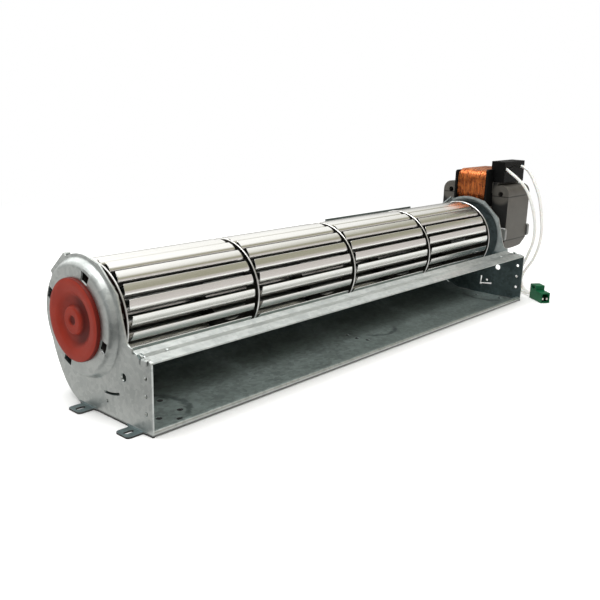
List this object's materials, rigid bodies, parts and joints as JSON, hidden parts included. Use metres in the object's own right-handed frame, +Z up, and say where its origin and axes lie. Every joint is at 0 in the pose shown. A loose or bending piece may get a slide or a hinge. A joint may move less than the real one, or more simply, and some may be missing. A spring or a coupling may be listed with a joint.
{
  "type": "cross flow fan",
  "caption": "Cross flow fan: long bladed drum in a folded sheet duct with slotted feet, turned by a C-frame shaded pole motor with two leads and a connector.",
  "frame": {"origin": "middle of the four foot slots, in the plane of the feet's undersides", "axes": "+X along the wheel's axis from its bearing end to its motor end, -Y the way the air leaves, +Z up from the feet"},
  "size_m": [0.4505, 0.1111, 0.1121],
  "materials": {
    "galvanised_sheet": "zinc coated sheet, soft satin with faint spangle",
    "wheel_aluminium": "bright rolled aluminium strip",
    "silicone": "matt red-brown silicone rubber",
    "sintered_bronze": "oil-filled sintered bronze",
    "laminated_steel": "stack of oiled electrical steel sheets",
    "copper": "bare copper",
    "enamelled_copper": "enamelled copper winding under clear film",
    "black_plastic": "moulded black nylon",
    "cast_zinc": "die-cast, matt",
    "plated_screws": "zinc plated",
    "turned_steel": "turned and ground",
    "tinned_brass": "tin plated contact",
    "white_insulation": "soft white insulation",
    "green_plastic": "moulded green nylon"
  },
  "bodies": {
    "duct": {"housing_sheet": "galvanised_sheet", "tongue_strip": "galvanised_sheet", "bearing_end_plate": "galvanised_sheet", "motor_end_plate": "galvanised_sheet", "bearing_mount": "silicone", "bearing_sleeve": "sintered_bronze", "stator_stack": "laminated_steel", "core_bar": "laminated_steel", "shading_rings": "copper", "bobbin": "black_plastic", "coil_winding": "enamelled_copper", "terminal_box": "black_plastic", "terminal_pins": "tinned_brass", "inner_motor_bracket": "cast_zinc", "outer_motor_bracket": "cast_zinc", "inner_motor_bearing": "sintered_bronze", "outer_motor_bearing": "sintered_bronze", "bracket_screws": "plated_screws", "bracket_nuts": "plated_screws", "motor_mounting_screws": "plated_screws", "lead_1": "white_insulation", "lead_2": "white_insulation", "connector_housing": "green_plastic", "connector_terminals": "tinned_brass"},
    "rotor": {"wheel_blades": "wheel_aluminium", "bearing_end_disc": "wheel_aluminium", "support_discs": "wheel_aluminium", "motor_end_disc": "wheel_aluminium", "stub_shaft": "turned_steel", "wheel_hub": "turned_steel", "hub_set_screw": "turned_steel", "motor_shaft": "turned_steel", "rotor_core": "laminated_steel"}
  },
  "joints": [
    {"name": "wheel_spin", "type": "hinge", "parent": "duct", "child": "rotor", "pos_m": [0, 0.0225, 0.0485], "axis": [1, 0, 0], "continuous": true}
  ]
}
